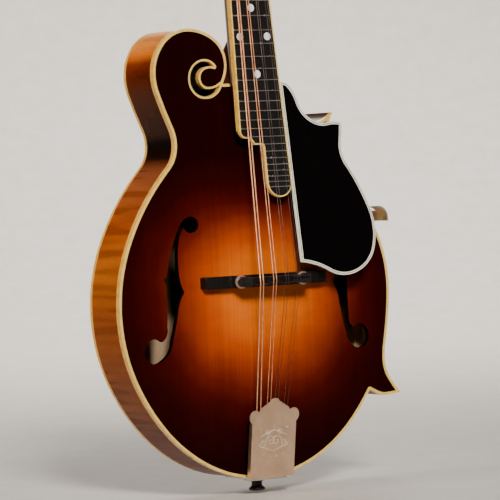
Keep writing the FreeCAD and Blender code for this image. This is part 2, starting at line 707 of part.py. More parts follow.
def make_posts():
    """String post, its gear and the gear's screw; they turn as one piece."""
    radius = dim("string_post")
    for number, (x, along) in enumerate(POST_PLACES, start=1):
        front = Vector(x, -9.0, along)
        profile = [(0, 0), (0, radius - 0.5), (0.5, radius), (2.6, radius), (3.4, radius - 0.6),
                   (4.8, radius - 0.6), (5.6, radius), (8.9 + HEAD_BACK, radius),
                   (8.9 + HEAD_BACK, 2.2), (9 + GEAR_FROM, 2.2), (9 + GEAR_FROM, 0)]
        post = turned(profile, front, Vector(0, 1, 0))
        depth = -dim("post_eye")
        eye = rod(0.7, Vector(x - 5, depth, along), Vector(x + 5, depth, along))
        gear = toothed_wheel(dim("gear_radius"), GEAR_TEETH, GEAR_FROM, GEAR_TO, x, along)
        head = turned([(0, 0), (0, 2.2), (0.9, 2.2), (1.6, 1.2), (1.6, 0)], Vector(x, GEAR_TO, along),
                      Vector(0, 1, 0))
        slot_tool = block(x - 3, x + 3, GEAR_TO + 1.0, GEAR_TO + 2, along - 0.3, along + 0.3)
        post = post.cut(eye).fuse(gear)
        feature("tuner_post_%d" % number, Part.makeCompound([post, head.cut(slot_tool)]), HEAD)


def make_shafts():
    """Worm shaft with its oval button, one for each string."""
    for number, (x, along) in enumerate(POST_PLACES, start=1):
        side = 1 if x > 0 else -1
        radius, worm = dim("shaft_radius"), dim("worm_radius")
        start = Vector(x - side * 10.4, SHAFT_DEPTH, along + SHAFT_OFFSET)
        profile = [(0, 0), (0, 2.0), (1.1, 2.0), (1.1, radius), (4.6, radius)]
        for thread in range(6):
            begin = 4.6 + thread * 1.8
            profile += [(begin, worm - 0.8), (begin + 0.5, worm), (begin + 1.3, worm),
                        (begin + 1.8, worm - 0.8)]
        profile += [(15.4, radius), (22.0, radius), (22.0, 2.6), (23.0, 2.6), (23.0, radius)]
        profile += [(32.0, radius), (32.0, 0)]
        shaft = turned(profile, start, Vector(side, 0, 0))
        middle = Vector(side * (BUTTON_FROM + 6.5), SHAFT_DEPTH, along + SHAFT_OFFSET)
        button = Part.makeSphere(1.0)
        stretch = FreeCAD.Matrix()
        stretch.scale(Vector(6.8, 3.1, 4.8))
        button = button.transformGeometry(stretch)
        button.translate(middle)
        bore = rod(radius, start, start + Vector(side * 32.0, 0, 0))
        feature("tuner_shaft_%d" % number, Part.makeCompound([shaft, button.cut(bore)]), HEAD)


def bound_cylinder(name, radius, height):
    """Part::Cylinder whose radius and height follow the sheet."""
    cylinder = doc.addObject("Part::Cylinder", name)
    cylinder.setExpression("Radius", radius)
    cylinder.setExpression("Height", height)
    return cylinder


def make_bushings():
    rings = []
    for number, (x, along) in enumerate(POST_PLACES, start=1):
        seat = HEAD.multiply(Placement(Vector(x, -1.0, along), Rotation(Vector(1, 0, 0), -90)))
        outer = bound_cylinder("bushing_outer_%d" % number, "dims.bushing_radius",
                               "dims.veneer + dims.head_thick + 1")
        inner = bound_cylinder("bushing_bore_%d" % number, "dims.string_post + dims.running_gap",
                               "dims.veneer + dims.head_thick + 1")
        outer.Placement = inner.Placement = seat
        ring = doc.addObject("Part::Cut", "bushing_%d" % number)
        ring.Base, ring.Tool = outer, inner
        rings.append(ring)
    bushings = doc.addObject("Part::Compound", "bushings")
    bushings.Links = rings
    keep("bushings", bushings)


# ------------------------------------------------------------------ strings
COURSES = (
    # radius, side of the neck, posts of the pair
    (0.51, (0, 1)),
    (0.33, (2, 3)),
    (0.205, (7, 6)),
    (0.14, (5, 4)),
)
SADDLE_X = ((-20.2, -17.5), (-8.0, -5.4), (3.5, 6.0), (14.2, 16.8))
NUT_X = ((-10.75, -9.3), (-4.4, -3.0), (2.8, 4.1), (9.35, 10.75))
HOOK_X = ((-13.6, -10.0), (-4.6, -1.4), (1.4, 4.6), (10.0, 13.6))
CROWN_SHIFT = (-0.9, 0.5, -0.6, 0.9)
HOOK_ALONG = 42.5
HOOK_DEPTH = -3.6
LOOP_RADIUS = 1.6


def rounded_path(points, radii):
    """Straight runs through the points, joined by tangent arcs of the given radii."""
    edges = []
    start = points[0]
    for before, corner, after, radius in zip(points, points[1:], points[2:], radii):
        arriving = (corner - before).normalize()
        leaving = (after - corner).normalize()
        bend = arriving.getAngle(leaving)
        tangent = radius * math.tan(bend / 2)
        arc_start, arc_end = corner - arriving * tangent, corner + leaving * tangent
        inward = (leaving - arriving).normalize()
        middle = corner + inward * (radius / math.cos(bend / 2) - radius)
        edges.append(Part.LineSegment(start, arc_start).toShape())
        edges.append(Part.Arc(arc_start, middle, arc_end).toShape())
        start = arc_end
    edges.append(Part.LineSegment(start, points[-1]).toShape())
    return Part.Wire(edges)


def string_points(course, member):
    """Loop, saddle, nut slot and post of one string."""
    radius, posts = COURSES[course]
    hook = COVER_TILT.multVec(Vector(HOOK_X[course][member], HOOK_DEPTH, HOOK_ALONG + LOOP_RADIUS))
    saddle = Vector(SADDLE_X[course][member], TOP_EDGE - dim("string_rise"),
                    dim("bridge_place") + CROWN_SHIFT[course])
    nut_middle = JOIN + dim("nut_thick") / 2
    slot = NECK.multVec(Vector(NUT_X[course][member], -1.25 - radius, nut_middle))
    x, along = POST_PLACES[posts[member]]
    side = 1 if x > 0 else -1
    inside = x - side * (dim("string_post") - 0.6 + radius + EDGE_GAP)
    return hook, saddle, slot, HEAD.multVec(Vector(inside, -dim("post_eye"), along))


def string_wire(course, member, growth=0.0):
    radius = COURSES[course][0]
    points = string_points(course, member)
    path = rounded_path(points, (1.5, 2.5))
    way = (points[1] - points[0]).normalize()
    ring = Part.Wire(Part.makeCircle(radius + growth, points[0], way))
    return path.makePipeShell([ring], True, True)


def string_loop(course, member):
    """The loop that lies round the hook."""
    loop = Part.makeTorus(LOOP_RADIUS, COURSES[course][0] * 0.7)
    seat = Placement(Vector(HOOK_X[course][member], HOOK_DEPTH, HOOK_ALONG),
                     Rotation(Vector(1, 0, 0), 90))
    return placed(placed(loop, seat), COVER_TILT)


def every_string():
    return [(course, member) for course in range(4) for member in range(2)]


STRING_ROOM = Part.makeCompound([string_wire(*member, growth=0.04) for member in every_string()])


def make_strings():
    for label, courses in (("strings_wound", (0, 1)), ("strings_plain", (2, 3))):
        lines = []
        for course, member in every_string():
            if course in courses:
                lines.append(string_wire(course, member).fuse(string_loop(course, member)))
        feature(label, Part.makeCompound([solid for line in lines for solid in line.Solids]))


def make_nut():
    half = dim("board_nut_width") / 2
    side = [(-half, JOIN), (half, JOIN), (half, HEAD_START), (-half, HEAD_START), (-half, JOIN)]
    bone = prism(area(polyline(side)), -dim("nut_proud"), dim("board_thick"))
    slope = block(-40, 40, -10, 0, -10, 10)
    slope.rotate(Vector(0, 0, 0), Vector(1, 0, 0), -14)
    slope.translate(Vector(0, -1.4, HEAD_START))
    bone = bone.cut(slope)
    bone = bone.cut(placed(STRING_ROOM, NECK.inverse()))
    feature("nut", solids(bone), NECK)


# ------------------------------------------------------------------ bridge
BRIDGE_TOP = 17.5
WHEEL_BASE = BRIDGE_TOP + 3.1
SADDLE_BASE = WHEEL_BASE + dim("wheel_thick") + EDGE_GAP
FOOT_RADIUS = 4.1
STEP_ENDS = (-24.5, -12.7, -0.9, 10.1, 24.5)
STANDING = Placement(Vector(0, TOP_EDGE, 0), Rotation(Vector(1, 0, 0), 90))


def standing(face, z_from, z_to):
    """A flat face drawn as (across, height above the rim), carried along the body."""
    return placed(prism(face, z_from, z_to), STANDING)


def make_bridge_base():
    half = dim("bridge_length") / 2
    place, width = dim("bridge_place"), dim("bridge_width")
    right = [(half, 14.2), (half - 9, 15.9), (34.5, BRIDGE_TOP)]
    left = [(-x, height) for x, height in reversed(right)]
    top = arcs_through(right) + polyline([(34.5, BRIDGE_TOP), (23, BRIDGE_TOP)])
    top += arcs_through([(23, BRIDGE_TOP), (0, BRIDGE_TOP - 1.6), (-23, BRIDGE_TOP)])
    top += polyline([(-23, BRIDGE_TOP), (-34.5, BRIDGE_TOP)]) + arcs_through(left)
    outline = area(top + polyline([(-half, 14.2), (-half, 0), (half, 0), (half, 14.2)]))
    core = rectangle(1.5 - half, half - 1.5, place - width / 2 + 1.5, place + width / 2 - 1.5)
    foot = standing(outline, place - width / 2, place + width / 2)
    foot = foot.common(prism(inset(core, 1.5), -60, 0))
    foot = foot.cut(TOP_SURFACE.extrude(Vector(0, 60, 0)))
    for side in (-1, 1):
        foot = foot.cut(bridge_post(side))
    feature("bridge_base", solids(foot))


def bridge_post(side, extra=0.0, room=0.0):
    """A bridge post, or with extra radius and room in front of it, the bore that it runs in."""
    x = side * dim("post_spread") / 2
    return rod(dim("post_radius") + extra, Vector(x, TOP_EDGE - 12.6, dim("bridge_place")),
               Vector(x, TOP_EDGE - 27.5 - room, dim("bridge_place")))


def make_bridge_posts():
    posts = []
    for side in (-1, 1):
        cylinder = bound_cylinder("bridge_post_bass" if side < 0 else "bridge_post_treble",
                                  "dims.post_radius", "dims.post_length")
        cylinder.Placement = Placement(
            Vector(side * dim("post_spread") / 2, TOP_EDGE - 12.6, dim("bridge_place")),
            Rotation(Vector(1, 0, 0), 90))
        posts.append(cylinder)
    pair = doc.addObject("Part::Compound", "bridge_posts")
    pair.Links = posts
    keep("bridge_posts", pair)


def make_saddle():
    """Carved saddle on two round feet, with a stepped crown: one step for each course."""
    place = dim("bridge_place")
    crown = dim("string_rise")
    shoulder = crown - 2.2
    end = dim("post_spread") / 2 + FOOT_RADIUS
    outline = polyline([(-end, SADDLE_BASE), (-23, SADDLE_BASE)])
    outline += arcs_through([(-23, SADDLE_BASE), (0, SADDLE_BASE + 4.6), (23, SADDLE_BASE)])
    outline += polyline([(23, SADDLE_BASE), (end, SADDLE_BASE)])
    right = [(end, SADDLE_BASE), (end, SADDLE_BASE + 3.4), (29.6, SADDLE_BASE + 7.0),
             (26.6, SADDLE_BASE + 8.6), (24.5, shoulder)]
    left = [(-x, height) for x, height in reversed(right)]
    outline += arcs_through(right) + polyline([(24.5, shoulder), (-24.5, shoulder)])
    outline += arcs_through(left)
    plan = rectangle(-dim("post_spread") / 2, dim("post_spread") / 2, place - 3, place + 3)
    body = prism(plan, -60, -30)
    for side in (-1, 1):
        foot = at(side * dim("post_spread") / 2, place)
        body = body.fuse(rod(FOOT_RADIUS, foot + Vector(0, -60, 0), foot + Vector(0, -30, 0)))
    body = body.common(standing(area(outline), place - FOOT_RADIUS, place + FOOT_RADIUS))
    steps = []
    for x_low, x_high, shift in zip(STEP_ENDS, STEP_ENDS[1:], CROWN_SHIFT):
        ridge = [(place - 3, shoulder - 0.1), (place + 3, shoulder - 0.1),
                 (place + shift + 0.9, crown - 0.05), (place + shift - 0.9, crown - 0.05),
                 (place - 3, shoulder - 0.1)]
        corners = [Vector(x_low, TOP_EDGE - height, z) for z, height in ridge]
        steps.append(Part.Face(Part.makePolygon(corners)).extrude(Vector(x_high - x_low, 0, 0)))
    saddle = body.fuse(steps).cut(STRING_ROOM)
    for side in (-1, 1):
        saddle = saddle.cut(bridge_post(side, 2 * dim("running_gap"), dim("saddle_travel") + 0.3))
    feature("bridge_saddle", solids(saddle.removeSplitter()))


def sketched(body, plane, name):
    """A sketch on one of the body's own origin planes."""
    sketch = body.newObject("Sketcher::SketchObject", name)
    for item in body.Origin.OriginFeatures:
        if item.Role == plane:
            sketch.AttachmentSupport = [(item, "")]
    sketch.MapMode = "FlatFace"
    return sketch


def bound_circle(sketch, x, radius, size):
    """Circle on the sketch's X axis whose radius follows the sheet."""
    circle = sketch.addGeometry(Part.Circle(Vector(x, 0, 0), Vector(0, 0, 1), radius))
    sketch.addConstraint(Sketcher.Constraint("PointOnObject", circle, 3, -1))
    fixed = sketch.addConstraint(Sketcher.Constraint("Radius", circle, radius))
    sketch.setExpression("Constraints[%d]" % fixed, size)
    return circle


def make_thumbwheels():
    for side, label in ((-1, "thumbwheel_bass"), (1, "thumbwheel_treble")):
        body = doc.addObject("PartDesign::Body", label)
        disc = sketched(body, "XY_Plane", label + "_disc")
        rim = bound_circle(disc, 0, dim("wheel_radius"), "dims.wheel_radius")
        hole = bound_circle(disc, 0, dim("post_radius") + dim("running_gap"),
                            "dims.post_radius + dims.running_gap")
        for circle in (rim, hole):
            disc.addConstraint(Sketcher.Constraint("PointOnObject", circle, 3, -2))
        wheel = body.newObject("PartDesign::Pad", label + "_pad")
        wheel.Profile = disc
        wheel.setExpression("Length", "dims.wheel_thick")
        doc.recompute()
        notch = sketched(body, "XY_Plane", label + "_notch")
        circle = bound_circle(notch, dim("wheel_radius") + 0.35, 0.6, "dims.knurl_radius")
        reach = notch.addConstraint(
            Sketcher.Constraint("DistanceX", -1, 1, circle, 3, dim("wheel_radius") + 0.35))
        notch.setExpression("Constraints[%d]" % reach, "dims.wheel_radius + 0.35")
        cut = body.newObject("PartDesign::Pocket", label + "_knurl")
        cut.Profile = notch
        cut.Type = "ThroughAll"
        cut.Midplane = True
        doc.recompute()
        knurls = body.newObject("PartDesign::PolarPattern", label + "_knurls")
        knurls.Originals = [cut]
        knurls.Axis = (disc, ["N_Axis"])
        knurls.Angle = 360
        knurls.Occurrences = 24
        body.Tip = knurls
        body.Placement = Placement(
            Vector(side * dim("post_spread") / 2, TOP_EDGE - WHEEL_BASE, dim("bridge_place")),
            Rotation(Vector(1, 0, 0), 90))
        keep(label, body)


# ------------------------------------------------------------------ tailpiece and end pin
ARM_FRONT, ARM_BACK = -2.4, -1.2
COVER_FRONT, COVER_WALL = -8.0, -4.0


def cover_outline():
    """The lid's plan: straight sides, two lobes, two shoulders and a small peak."""
    half, foot = dim("cover_width") / 2, dim("cover_foot")
    peak = dim("cover_length")
    right = [(half, peak - 18.8), (half + 2.4, peak - 13.1), (19.0, peak - 8.6),
             (16.2, peak - 8.8), (14.0, peak - 10.4), (12.8, peak - 7.7), (10.5, peak - 6.4),
             (8.6, peak - 4.9), (6.8, peak - 4.5), (6.6, peak - 3.7), (6.0, peak - 3.2),
             (4.4, peak - 2.5), (3.4, peak - 1.2), (1.9, peak - 0.2), (0, peak)]
    left = [(-x, along) for x, along in reversed(right)]
    edges = arcs_through(right) + arcs_through(left)
    return area(edges + polyline([left[-1], (-half, foot), (half, foot), right[0]]))


def make_tailpiece_cover():
    """Sheet metal lid, open towards the strings, that slides over the hooks."""
    outline = cover_outline()
    half, foot, skin = dim("cover_width") / 2, dim("cover_foot"), dim("sheet_metal")
    lid = prism(outline, COVER_FRONT, COVER_WALL)
    hollow = prism(inset(outline, -skin), COVER_FRONT + skin, 2)
    mouth = block(-40, 40, COVER_FRONT + skin, 2, dim("cover_length") - 19.5, 80)
    end_wall = block(-half, half, COVER_FRONT, ARM_FRONT - 0.2, foot, foot + skin)
    shell = lid.cut(hollow).cut(mouth).fuse(end_wall)
    feature("tailpiece_cover", solids(shell.removeSplitter()), COVER_TILT)


def make_tailpiece_base():
    """Bent plate screwed to the tail, with the eight string hooks."""
    half = dim("base_width") / 2
    skin = inset(OUTLINE, dim("base_thick")).cut(OUTLINE).common(rectangle(-half, half, -5, 5))
    leg = prism(skin, -25.0, 7.0)
    arm = placed(block(-half, half, ARM_FRONT, ARM_BACK, 1.4, 48), COVER_TILT)
    base = leg.fuse(arm)
    for pair in HOOK_X:
        for x in pair:
            shank = rod(0.9, Vector(x, ARM_BACK - 0.6, HOOK_ALONG), Vector(x, -5.4, HOOK_ALONG))
            tip = rod(0.9, Vector(x, -5.4, HOOK_ALONG), Vector(x, -6.2, HOOK_ALONG - 2.2))
            base = base.fuse([placed(shank, COVER_TILT), placed(tip, COVER_TILT)])
    base = base.cut(rod(PIN_STEM, PIN_AXIS + Vector(0, 0, -5), PIN_AXIS + Vector(0, 0, 5)))
    feature("tailpiece_base", solids(base.cut(WOOD_SCREWS).removeSplitter()))


def make_end_pin():
    """Turned strap pin: every corner of its profile is held by the sheet or by a distance."""
    body = doc.addObject("PartDesign::Body", "end_pin")
    sketch = sketched(body, "XZ_Plane", "end_pin_profile")
    corners = [
        ("0", "20"), ("dims.pin_stem", "18"), ("dims.pin_stem", "0"), ("dims.pin_radius * 0.92", "0"),
        ("dims.pin_radius * 0.92", "-1"), ("dims.pin_stem * 1.02", "-2.4"),
        ("dims.pin_stem * 1.02", "-dims.pin_length * 0.55"),
        ("dims.pin_radius", "-dims.pin_length * 0.8"), ("dims.pin_radius", "-dims.pin_length * 0.92"),
        ("dims.pin_radius * 0.75", "-dims.pin_length"), ("0", "-dims.pin_length"),
    ]
    places = [Vector(2 + step, 20 - 3 * step, 0) for step in range(len(corners))]
    for start, end in zip(places, places[1:] + places[:1]):
        sketch.addGeometry(Part.LineSegment(start, end))
    for index in range(len(corners)):
        after = (index + 1) % len(corners)
        sketch.addConstraint(Sketcher.Constraint("Coincident", index, 2, after, 1))
    for index, (across, along) in enumerate(corners):
        for kind, size, value in (
            ("DistanceX", across, places[index].x),
            ("DistanceY", along, places[index].y),
        ):
            held = sketch.addConstraint(Sketcher.Constraint(kind, -1, 1, index, 1, value))
            sketch.setExpression("Constraints[%d]" % held, size)
    turn = body.newObject("PartDesign::Revolution", "end_pin_turn")
    turn.Profile = sketch
    turn.ReferenceAxis = (sketch, ["V_Axis"])
    turn.Angle = 360
    body.Placement = Placement(PIN_AXIS + Vector(0, 0, -dim("base_thick")), Rotation())
    keep("end_pin", body)


# ------------------------------------------------------------------ pickguard
def board_side(z):
    """The fingerboard's treble edge plus a hair, at a height in the body's frame."""
    return board_half((z - NECK.Base.z) / math.cos(NECK_SLOPE)) + 0.3


def guard_outline():
    """Plan of the pickguard in the body's frame, stretched onto the fingerboard's plane."""
    points = [(board_side(303.6), 303.6), (23.8, 303.2), (27.2, 301.6), (31.6, 296.4),
              (35.6, 287.4), (40.0, 279.2), (47.1, 273.6), (54.4, 271.0), (62.0, 271.3),
              (66.5, 271.7), (71.2, 271.4), (73.7, 270.4), (74.3, 267.6), (73.2, 259.5),
              (72.0, 252.5), (72.6, 246.9), (75.3, 239.8), (86.7, 220.7), (92.7, 207.2),
              (97.0, 187.5), (93.8, 170.6), (86.5, 161.0), (76.0, 155.0), (63.8, 153.0),
              (49.9, 156.9), (37.5, 162.2), (board_side(165), 165)]
    level = [(x, (z - NECK.Base.z) / math.cos(NECK_SLOPE)) for x, z in points]
    return area(arcs_through(level) + polyline([level[-1], level[0]]))


GUARD_FRONT = dim("guard_rise")
GUARD_BACK = dim("guard_rise") + dim("guard_thick")
EDGE_LINES = (0, -0.95, -1.35, -2.2)


def make_pickguard():
    """Black plate inside an edge of three laminations: white, black and white."""
    plans = [inset(guard_outline(), line) if line else guard_outline() for line in EDGE_LINES]
    feature("pickguard", solids(prism(plans[-1], GUARD_FRONT, GUARD_BACK)), NECK)
    rings = []
    for outer, inner in zip(plans, plans[1:]):
        rings += prism(outer.cut(inner), GUARD_FRONT, GUARD_BACK).Solids
    feature("pickguard_edge", Part.makeCompound(rings), NECK)


STRAP_Z = 203.4
BEND = 8.4
LEG_LOW, LEG_HIGH = 192.5, 200.5
THUMB_HEIGHT = 196.5
THUMB_DEPTH = -13.5


def rim_side(z):
    """The treble side's outermost point at a height on the body."""
    return OUTLINE.common(rectangle(60, 150, z - 4, z + 4)).BoundBox.XMax


def quarter(centre, radius):
    """Quarter circle about a centre, from straight above it round to +X."""
    return Part.Arc(*(centre + toward(turn) * radius for turn in (90, 45, 0))).toShape()


def make_bracket():
    """Strap from the pickguard's back, bent down beside the rim, with a foot and a thumbscrew."""
    rim = rim_side(THUMB_HEIGHT)
    outside = rim + 3.6
    thick = dim("strap_thick")
    elbow = at(outside - BEND, STRAP_Z - BEND)
    edges = polyline([(78, STRAP_Z + thick), (elbow.x, STRAP_Z + thick)])
    edges.append(quarter(elbow, BEND + thick))
    edges += polyline([(outside + thick, elbow.z), (outside + thick, LEG_LOW), (outside, LEG_LOW),
                       (outside, elbow.z)])
    edges.append(quarter(elbow, BEND))
    edges += polyline([(elbow.x, STRAP_Z), (78, STRAP_Z), (78, STRAP_Z + thick)])
    behind_guard = placed(block(60, 140, GUARD_BACK, 30, -140, -80), NECK)
    strap = prism(area(edges), -36, -24)
    pad = block(78, 92, -48, -24, STRAP_Z, STRAP_Z + thick).common(behind_guard)
    leg = block(outside, outside + thick, -30, 6, LEG_LOW, LEG_HIGH)
    foot = block(rim - 8, outside + 0.4, 1, 5, LEG_LOW + 1, LEG_HIGH - 1)
    foot = foot.cut(prism(OUTLINE, -30, 30))
    middle = Vector(outside, THUMB_DEPTH, THUMB_HEIGHT)
    across = Vector(1, 0, 0)
    bore = rod(dim("thumb_radius") + dim("running_gap"), middle - across * 8, middle + across * 8)
    feature("pickguard_bracket", solids(strap.fuse([pad, leg, foot]).cut(bore).removeSplitter()))
    tip = Vector(rim + 0.5, THUMB_DEPTH, THUMB_HEIGHT)
    screw = rod(dim("thumb_radius"), tip, tip + across * 8)
    knob = rod(4.2, tip + across * 7, tip + across * 12)
    gaps = []
    for tooth in range(18):
        turn = math.radians(20 * tooth)
        edge = tip + Vector(6, 4.4 * math.cos(turn), 4.4 * math.sin(turn))
        gaps.append(rod(0.5, edge, edge + across * 7))
    feature("bracket_screw", solids(screw.fuse(knob.cut(Part.makeCompound(gaps))).removeSplitter()))


# ------------------------------------------------------------------ assembly
make_soundboard()
make_back_plate()
make_bindings()
RIBS = make_ribs()
make_blocks(RIBS)
make_linings()
make_tone_bars()
make_neck()
make_head_face()
make_truss_parts()
feature("wood_screws", WOOD_SCREWS)
make_fingerboard()
make_tuner_plates()
make_posts()
make_shafts()
make_bushings()
make_strings()
make_nut()
make_bridge_base()
make_bridge_posts()
make_saddle()
make_thumbwheels()
make_tailpiece_cover()
make_tailpiece_base()
make_end_pin()
make_pickguard()
make_bracket()

doc.recompute()
for item in doc.Objects:
    if "Invalid" in item.State or "Error" in item.State:
        raise RuntimeError("%s did not recompute: %s" % (item.Label, item.State))

os.makedirs("parts", exist_ok=True)
for item in sub_parts:
    shape = item.Shape
    if shape.isNull() or not shape.isValid():
        raise RuntimeError("%s has no valid shape" % item.Label)
    shape.exportStep("parts/%s.step" % item.Label)
    box = shape.BoundBox
    print("%-20s %2d solids %9.0f mm3  x %.1f %.1f  y %.1f %.1f  z %.1f %.1f" % (
        item.Label, len(shape.Solids), shape.Volume,
        box.XMin, box.XMax, box.YMin, box.YMax, box.ZMin, box.ZMax))
print("%d sub-parts" % len(sub_parts))
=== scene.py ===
"""Looks of the carved mandolin: materials, string windings, engraving, studio light and the camera."""

import json
import math

import bpy
from mathutils import Matrix, Vector


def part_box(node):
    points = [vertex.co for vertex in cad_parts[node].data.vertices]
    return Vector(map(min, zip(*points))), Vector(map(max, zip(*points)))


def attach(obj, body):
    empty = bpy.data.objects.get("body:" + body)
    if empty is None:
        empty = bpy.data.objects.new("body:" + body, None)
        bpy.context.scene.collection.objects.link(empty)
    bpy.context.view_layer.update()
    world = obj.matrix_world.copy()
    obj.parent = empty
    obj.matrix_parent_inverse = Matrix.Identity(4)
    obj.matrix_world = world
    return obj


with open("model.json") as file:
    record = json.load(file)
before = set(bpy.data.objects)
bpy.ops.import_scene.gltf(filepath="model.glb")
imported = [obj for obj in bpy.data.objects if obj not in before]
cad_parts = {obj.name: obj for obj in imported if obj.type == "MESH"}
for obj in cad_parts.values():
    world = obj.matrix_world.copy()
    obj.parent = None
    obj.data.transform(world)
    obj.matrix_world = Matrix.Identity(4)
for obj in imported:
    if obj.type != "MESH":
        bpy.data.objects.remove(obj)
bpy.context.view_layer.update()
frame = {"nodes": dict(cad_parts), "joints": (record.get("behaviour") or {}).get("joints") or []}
NODES = frame["nodes"]
JOINTS = {joint["name"]: joint for joint in frame["joints"]}
MM = 0.001


# ------------------------------------------------------------------ shader graph helpers
class Graph:
    """A material's node tree, with one method for each kind of node used here."""

    def __init__(self, name):
        self.material = bpy.data.materials.new(name)
        self.material.use_nodes = True
        self.tree = self.material.node_tree
        self.shader = self.tree.nodes["Principled BSDF"]

    def add(self, kind, **settings):
        """A new node of one kind, with its own settings."""
        node = self.tree.nodes.new("ShaderNode" + kind)
        for key, value in settings.items():
            setattr(node, key, value)
        return node

    def plug(self, value, socket):
        """Connect an output, or set a plain value."""
        if hasattr(value, "is_output"):
            self.tree.links.new(value, socket)
        else:
            socket.default_value = value

    def place(self):
        """The shaded point, in metres in its piece's own coordinates."""
        return self.add("TexCoord").outputs["Object"]

    def normal(self):
        """The direction the surface faces."""
        return self.add("NewGeometry").outputs["Normal"]

    def scaled(self, vector, scale):
        node = self.add("Mapping")
        self.plug(vector, node.inputs["Vector"])
        node.inputs["Scale"].default_value = scale
        return node.outputs["Vector"]

    def joined(self, x, y, z):
        node = self.add("CombineXYZ")
        for value, socket in zip((x, y, z), node.inputs):
            self.plug(value, socket)
        return node.outputs[0]

    def round_edges(self, radius):
        """A normal that is rounded near edges, with the radius in millimetres."""
        node = self.add("Bevel", samples=4)
        node.inputs["Radius"].default_value = radius * MM
        return node.outputs[0]

    def split(self, vector):
        node = self.add("SeparateXYZ")
        self.plug(vector, node.inputs[0])
        return node.outputs

    def math(self, operation, first, second=0.0):
        node = self.add("Math", operation=operation)
        self.plug(first, node.inputs[0])
        self.plug(second, node.inputs[1])
        return node.outputs[0]

    def remap(self, value, low, high, to_low=0.0, to_high=1.0):
        """The range low to high, spread over to_low to to_high."""
        node = self.add("MapRange")
        self.plug(value, node.inputs["Value"])
        for key, number in zip(("From Min", "From Max", "To Min", "To Max"), (low, high, to_low, to_high)):
            node.inputs[key].default_value = number
        return node.outputs["Result"]

    def smooth(self, value, low, high):
        """0 below low and 1 above high, with a soft step between."""
        node = self.add("MapRange", interpolation_type="SMOOTHSTEP")
        self.plug(value, node.inputs["Value"])
        node.inputs["From Min"].default_value = low
        node.inputs["From Max"].default_value = high
        return node.outputs["Result"]

    def noise(self, vector, scale, detail, roughness=0.5, distortion=0.0):
        """Soft random values, most of them between 0.3 and 0.7."""
        node = self.add("TexNoise")
        self.plug(vector, node.inputs["Vector"])
        node.inputs["Scale"].default_value = scale
        node.inputs["Detail"].default_value = detail
        node.inputs["Roughness"].default_value = roughness
        node.inputs["Distortion"].default_value = distortion
        return node.outputs["Fac"]

    def ramp(self, value, stops):
        """Colour ramp; each stop is (position, sRGB colour in 0 to 255)."""
        node = self.add("ValToRGB")
        self.plug(value, node.inputs[0])
        band = node.color_ramp
        while len(band.elements) < len(stops):
            band.elements.new(0.5)
        for element, (position, colour) in zip(band.elements, stops):
            element.position = position
            element.color = srgb(*colour)
        return node.outputs["Color"]

    def mix(self, factor, first, second, blend="MIX"):
        """A colour that goes from first to second as the factor goes from 0 to 1."""
        node = self.add("Mix", data_type="RGBA", blend_type=blend)
        self.plug(factor, node.inputs["Factor"])
        self.plug(first, node.inputs[6])
        self.plug(second, node.inputs[7])
        return node.outputs[2]

    def bump(self, height, distance, strength, under=None):
        """A normal bent by a height, on top of the normal given as under."""
        node = self.add("Bump")
        node.inputs["Strength"].default_value = strength
        node.inputs["Distance"].default_value = distance
        self.plug(height, node.inputs["Height"])
        if under is not None:
            self.plug(under, node.inputs["Normal"])
        return node.outputs["Normal"]

    def finish(self, color, roughness, normal=None, **plain):
        """Wire the shader; the keywords in plain are its own sockets, by name with underscores."""
        sockets = self.shader.inputs
        self.plug(color, sockets["Base Color"])
        self.plug(roughness, sockets["Roughness"])
        if normal is not None:
            self.plug(normal, sockets["Normal"])
        for key, value in plain.items():
            sockets[key.replace("_", " ")].default_value = value
        return self.material


def srgb(red, green, blue):
    """Linear colour, with alpha, of an sRGB colour in 0 to 255."""
    linear = []
    for value in (red, green, blue):
        share = value / 255
        linear.append(share / 12.92 if share <= 0.04045 else ((share + 0.055) / 1.055) ** 2.4)
    return (*linear, 1.0)


# ------------------------------------------------------------------ woods
# heights above the tail, distances from the centreline
BODY_MIDDLE = 150 * MM
RIM_RADIUS = 125 * MM
BOUTS_TOP = 284 * MM
SHADES_TOP = 350 * MM
# painted light and shade inside the body: the heights over which a painted pool of light low down fades
# into painted shade
INSIDE_LIGHT_SPAN = (80 * MM, 200 * MM)
BURST_MIDDLE_X = 1 * MM
BURST_MIDDLE_Z = 146 * MM
BURST_HALF_WIDTH = 96 * MM
BURST_REACH_UP = 70 * MM
BURST_REACH_DOWN = 88 * MM
BURST_SQUARENESS = 2.3
TOP_BURST = [
    (0.1, (198, 94, 8)),
    (0.19, (190, 86, 8)),
    (0.27, (162, 63, 7)),
    (0.35, (128, 42, 4)),
    (0.43, (88, 18, 2)),
    (0.5, (60, 7, 3)),
    (0.6, (38, 3, 2)),
    (0.75, (25, 2, 2)),
]


def burst_reach(g, x, z):
    """Distance from the middle of the sunburst, where 1 is a rounded box round its amber part."""
    across = g.math("MULTIPLY", g.math("SUBTRACT", x, BURST_MIDDLE_X), 1 / BURST_HALF_WIDTH)
    along = g.math("SUBTRACT", z, BURST_MIDDLE_Z)
    above = g.math("MULTIPLY", g.math("MAXIMUM", along, 0.0), 1 / BURST_REACH_UP)
    below = g.math("MULTIPLY", g.math("MINIMUM", along, 0.0), 1 / BURST_REACH_DOWN)
    lengthways = g.math("ADD", above, below)
    parts = [g.math("POWER", g.math("ABSOLUTE", part), BURST_SQUARENESS)
             for part in (across, lengthways)]
    return g.math("POWER", g.math("ADD", *parts), 1 / BURST_SQUARENESS)


